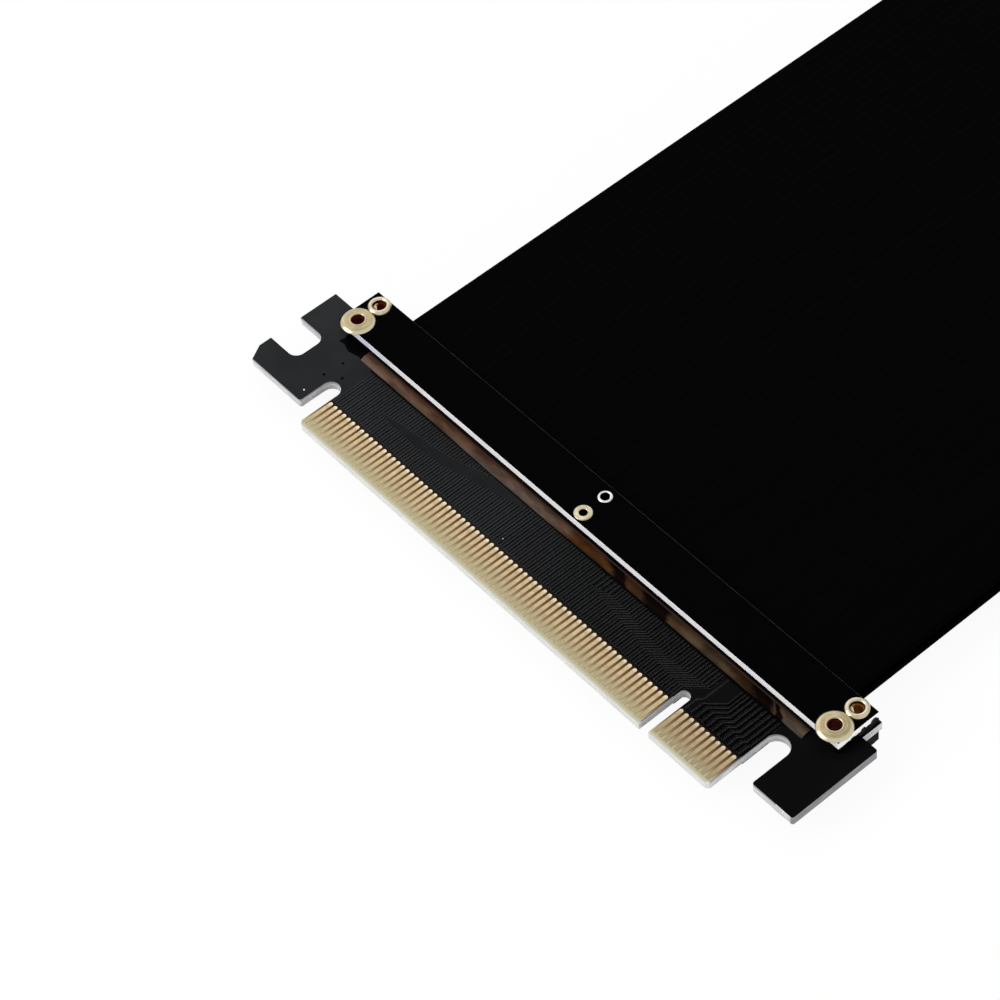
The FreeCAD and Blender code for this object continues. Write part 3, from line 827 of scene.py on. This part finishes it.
def makeFillers(end, side):
    low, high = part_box("plug_upper_fillers")
    middle = (low + high) / 2
    bm = bmesh.new()
    for x0, x1 in ((low.x, low.x + filler["reach"] * mm), (high.x - filler["reach"] * mm, high.x)):
        addBox(bm, (x1 - x0, high.y - low.y, high.z - low.z), ((x0 + x1) / 2, middle.y, middle.z))
    bmesh.ops.subdivide_edges(bm, edges=bm.edges[:], cuts=filler["cuts"], use_grid_fill=True)
    for vert in bm.verts:
        away = 1 if vert.co.x > middle.x else -1
        outer = high.x if away > 0 else low.x
        lump = noise.noise(vert.co * filler["swellScale"]) * filler["swell"] * mm
        if abs(vert.co.x - outer) < touching:  # the bead stands out past the plate's end
            level = (vert.co.z - low.z) / (high.z - low.z)
            vert.co.x += away * (filler["stand"] * mm + lump)
            back = (vert.co.y - low.y) / (high.y - low.y)
            climb = max(0.0, (level - filler["climbFrom"]) / (1 - filler["climbFrom"]))
            rise = lumpRise(back) if side == "upper" else filler["lowerRise"]
            vert.co.z += climb * rise * mm  # and climbs it, in lumps above and all along below
        elif abs(vert.co.y - low.y) < touching or abs(vert.co.y - high.y) < touching:
            vert.co.y += lump
    if end == "plug" and side == "upper":  # a thin film of it has run forward beside the tape
        addFilm(bm)
    outward(bm)
    onSide(bm, end, side)
    newPiece(end + side.title() + "Fillers", bm, fillerAndHoleShadeBlack, [end + "_" + side + "_fillers"], sharp=70)


for end, side in everySide:
    makeFillers(end, side)
print("fillers made")


# Flat ribbon with a shallow ridge over every wire
ribbonLook = {"ridges": 64, "perRidge": 6, "rows": 24, "ridge": 0.04, "edge": 0.4, "half": 0.5, "wave": 0.05,
              "waveScale": (18, 30), "sag": 0.05, "foot": 0.98}


def edgeDrop(fromEdge):  # how far the rounded long edge has dropped, in millimetres
    roll = max(0.0, 1 - fromEdge / ribbonLook["edge"])
    return ribbonLook["half"] * (1 - math.sqrt(max(0.0, 1 - roll * roll)))


def makeRibbon(side):
    look = ribbonLook
    bm = bmesh.new()
    bmesh.ops.create_grid(bm, x_segments=look["ridges"] * look["perRidge"], y_segments=look["rows"], size=0.5)
    width = ribbonHigh.x - ribbonLow.x
    length = ribbonHigh.y - ribbonLow.y
    for vert in bm.verts:
        across = vert.co.x + 0.5
        along = vert.co.y + 0.5
        x = ribbonLow.x + across * width
        y = ribbonLow.y + along * length
        hollow = -0.5 - 0.5 * math.cos(2 * math.pi * across * look["ridges"])
        free = math.sin(math.pi * along)
        wave = noise.noise(Vector((x * look["waveScale"][0], y * look["waveScale"][1], 2))) * look["wave"] * free
        rise = look["ridge"] * hollow - edgeDrop(min(across, 1 - across) * width / mm) + wave - look["sag"] * free
        vert.co = Vector((x, y, ribbonHigh.z + rise * mm))
    facedUp(bm)
    for vert in vertsOf(bmesh.ops.extrude_face_region(bm, geom=bm.faces[:], use_keep_orig=True)["geom"]):
        drop = edgeDrop(min(vert.co.x - ribbonLow.x, ribbonHigh.x - vert.co.x) / mm)
        vert.co.z = ribbonLow.z + drop * mm * look["foot"]
    bm.normal_update()  # the walls had no area until now
    outward(bm)
    onSide(bm, "plug", side)
    newPiece(side + "Ribbon", bm, ribbonBlack, [side + "_ribbon"], sharp=60)


for side in ("upper", "lower"):
    makeRibbon(side)
print("ribbons made")


# Slot: bent springs, ribs between them, solder on the far side of the board and plated screw holes
slotLook = {"line": [(1.35, 0.0), (1.35, 3.0), (1.28, 4.6), (0.98, 5.9), (0.70, 6.7), (0.66, 7.1), (0.74, 7.5),
                     (1.05, 8.1), (1.25, 8.5)],
            "width": 0.42, "thickness": 0.16, "ribWidth": 0.5, "ribFrom": 0.84, "ribTo": 1.05, "ribFoot": 2.4,
            "ribTop": 0.55, "solderRows": (2.75, 1.35), "solderTip": 0.16, "solderRoot": 0.42, "solderDepth": 0.8,
            "screwX": 49.5, "padInner": 1.62, "padOuter": 2.7, "padRise": 0.04, "padEdge": 0.05}


def makeSprings(side, sign):
    look = slotLook
    bm = bmesh.new()
    start = Vector((rowMiddle + places[0] * mm, slotY, boardTop))
    addStrip(bm, [start + Vector((0, sign * y * mm, z * mm)) for y, z in look["line"]], look["width"] * mm)
    outward(bm)
    bmesh.ops.solidify(bm, geom=bm.faces[:], thickness=look["thickness"] * mm)
    outward(bm)
    inRow(bm, places)
    newPiece("slot" + side.title() + "Springs", bm, springGold, ["slot_" + side + "_contacts"], sharp=50)


def makeComb():
    look = slotLook
    half = contactRow["pitch"] / 2
    bm = bmesh.new()
    low = boardTop + look["ribFoot"] * mm
    high = housingHigh.z - look["ribTop"] * mm
    middle = (rowMiddle + (places[0] - half) * mm, slotY + (look["ribTo"] + look["ribFrom"]) / 2 * mm, (low + high) / 2)
    addBox(bm, (look["ribWidth"] * mm, (look["ribTo"] - look["ribFrom"]) * mm, high - low), middle)
    inRow(bm, [x - half for x in places] + [places[contactRow["longRow"] - 1] + half, places[-1] + half])
    turned = vertsOf(bmesh.ops.duplicate(bm, geom=bm.verts[:] + bm.edges[:] + bm.faces[:])["geom"])
    for vert in turned:  # the same ribs on the other side of the slot
        vert.co.y = 2 * slotY - vert.co.y
    outward(bm)
    newPiece("slotComb", bm, housingBlack)


def makeSolder():
    look = slotLook
    spots = []
    for index, x in enumerate(places):
        row = look["solderRows"][index % 2]
        spots += [Vector((x * mm, row * mm, 0)), Vector((x * mm, -row * mm, 0))]
    bm = bmesh.new()
    bmesh.ops.create_cone(bm, cap_ends=True, segments=8, radius1=look["solderTip"] * mm,
                          radius2=look["solderRoot"] * mm, depth=look["solderDepth"] * mm)
    middle = Vector((rowMiddle, slotY, boardLow.z - look["solderDepth"] / 2 * mm))
    bmesh.ops.translate(bm, vec=middle + spots[0], verts=bm.verts)
    repeated(bm, [spot - spots[0] for spot in spots[1:]])
    newPiece("slotSolder", bm, solderTin, sharp=60)


def makeScrewPads():
    look = slotLook
    low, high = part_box("socket_board")
    bm = bmesh.new()
    middle = (low.x + high.x) / 2
    for x in (middle - look["screwX"] * mm, middle + look["screwX"] * mm):
        for level, up in ((boardHigh.z / mm, 1), (boardLow.z / mm, -1)):
            crown = level + up * look["padRise"]
            profile = [(look["padInner"], level), (look["padInner"], crown),
                       (look["padOuter"] - look["padEdge"], crown), (look["padOuter"], level)]
            spun(bm, profile, x, slotY, 40)
    finishedSpin(bm)
    newPiece("screwPads", bm, padBrass, sharp=50)


makeSprings("back", 1)
makeSprings("front", -1)
makeComb()
makeSolder()
makeScrewPads()
print("slot made")


# Small holes and bright spots in the mask, most of them on the hook ear
earSpots = {"height": 0.04, "taper": 0.8, "dark": [(-46.52, 8.05, 0.26), (-46.23, 11.32, 0.22), (-44.11, 9.47, 0.24)],
            "bright": [(-46.27, 4.22, 0.14), (-6.21, 7.07, 0.09)]}
for name, material in (("dark", fillerAndHoleShadeBlack), ("bright", ringTin)):
    bm = bmesh.new()
    for x, y, radius in earSpots[name]:
        made = bmesh.ops.create_cone(bm, cap_ends=True, segments=16, radius1=radius * mm,
                                     radius2=radius * earSpots["taper"] * mm, depth=earSpots["height"] * mm)["verts"]
        bmesh.ops.translate(bm, vec=at(x, y, boardTop / mm + earSpots["height"] / 2), verts=made)
    newPiece(name + "EarSpots", bm, material, sharp=50)
print("ear spots made")


# White table and soft light
stageLook = {"size": 4.0, "level": -0.04 * mm, "floor": (0.94, 0.94, 0.94, 1), "white": (1, 1, 1, 1), "ownWhite": 0.93,
             "sky": 0.57}


def rayShare(tree):  # camera, mirror and glass rays see the plain white
    path = put(tree, "ShaderNodeLightPath").outputs
    seen = math2(tree, "MAXIMUM", path["Is Camera Ray"], path["Is Glossy Ray"])
    return math2(tree, "MAXIMUM", seen, path["Is Transmission Ray"])


def makeFloor():
    look = stageLook
    bm = bmesh.new()
    bmesh.ops.create_grid(bm, x_segments=1, y_segments=1, size=look["size"] / 2)
    bmesh.ops.translate(bm, vec=(0, 0, look["level"]), verts=bm.verts)
    floor = newObject("table", newMesh("table", bm))
    material = bpy.data.materials.new("tableWhite")
    tree = emptyTree(material)
    matt = put(tree, "ShaderNodeBsdfDiffuse", {"Color": look["floor"]})
    own = put(tree, "ShaderNodeEmission", {"Color": look["white"], "Strength": 1.0})
    share = math2(tree, "MULTIPLY", rayShare(tree), look["ownWhite"])
    blend = put(tree, "ShaderNodeMixShader", {0: share, 1: matt.outputs[0], 2: own.outputs[0]})
    put(tree, "ShaderNodeOutputMaterial", {"Surface": blend.outputs[0]})
    floor.data.materials.append(material)


def makeSky():
    world = bpy.data.worlds.new("studio")
    bpy.context.scene.world = world
    tree = emptyTree(world)
    strength = put(tree, "ShaderNodeMapRange", {0: rayShare(tree), 1: 0.0, 2: 1.0, 3: stageLook["sky"], 4: 1.0})
    sky = put(tree, "ShaderNodeBackground", {"Color": stageLook["white"], "Strength": strength.outputs[0]})
    put(tree, "ShaderNodeOutputWorld", {"Surface": sky.outputs[0]})


lamps = {"key": {"place": (-0.62, 0.16, 0.62), "aim": (-0.02, -0.09, 0.0), "size": 0.9, "power": 1.6},
         "fill": {"place": (-0.42, -0.78, 0.58), "aim": (0.0, -0.08, 0.0), "size": 0.6, "power": 6.0},
         "side": {"place": (0.56, -0.12, 0.12), "aim": (0.05, -0.10, 0.005), "size": 0.25, "power": 1.05}}


def makeLamps():
    for name, look in lamps.items():
        light = bpy.data.lights.new(name, "AREA")
        light.shape = "SQUARE"
        light.size = look["size"]
        light.energy = look["power"]
        lamp = newObject(name, light)
        lamp.location = look["place"]
        lamp.rotation_euler = (Vector(look["aim"]) - Vector(look["place"])).to_track_quat("-Z", "Y").to_euler()
        lamp.visible_glossy = name != "side"  # lights the right-hand walls without a glint


view = {"place": (0.22819, -0.279237, 0.361658), "azimuth": 55.09, "elevation": 50.94, "roll": -7.24, "lens": 121.05,
        "sensor": 36, "nearest": 0.01}


def makeCamera():
    azimuth, elevation, roll = (math.radians(view[key]) for key in ("azimuth", "elevation", "roll"))
    right = Vector((math.cos(azimuth), math.sin(azimuth), 0))
    back = Vector((math.sin(azimuth) * math.cos(elevation), -math.cos(azimuth) * math.cos(elevation),
                   math.sin(elevation)))
    up = back.cross(right)
    across = right * math.cos(roll) + up * math.sin(roll)
    upward = -right * math.sin(roll) + up * math.cos(roll)
    lens = bpy.data.cameras.new("camera")
    lens.sensor_width = view["sensor"]
    lens.lens = view["lens"]
    lens.clip_start = view["nearest"]
    camera = newObject("camera", lens)
    camera.matrix_world = Matrix.Translation(view["place"]) @ Matrix((across, upward, back)).transposed().to_4x4()
    bpy.context.scene.camera = camera


makeFloor()
makeSky()
makeLamps()
makeCamera()
bpy.context.scene.view_settings.view_transform = "Standard"
print("table, light and camera made")
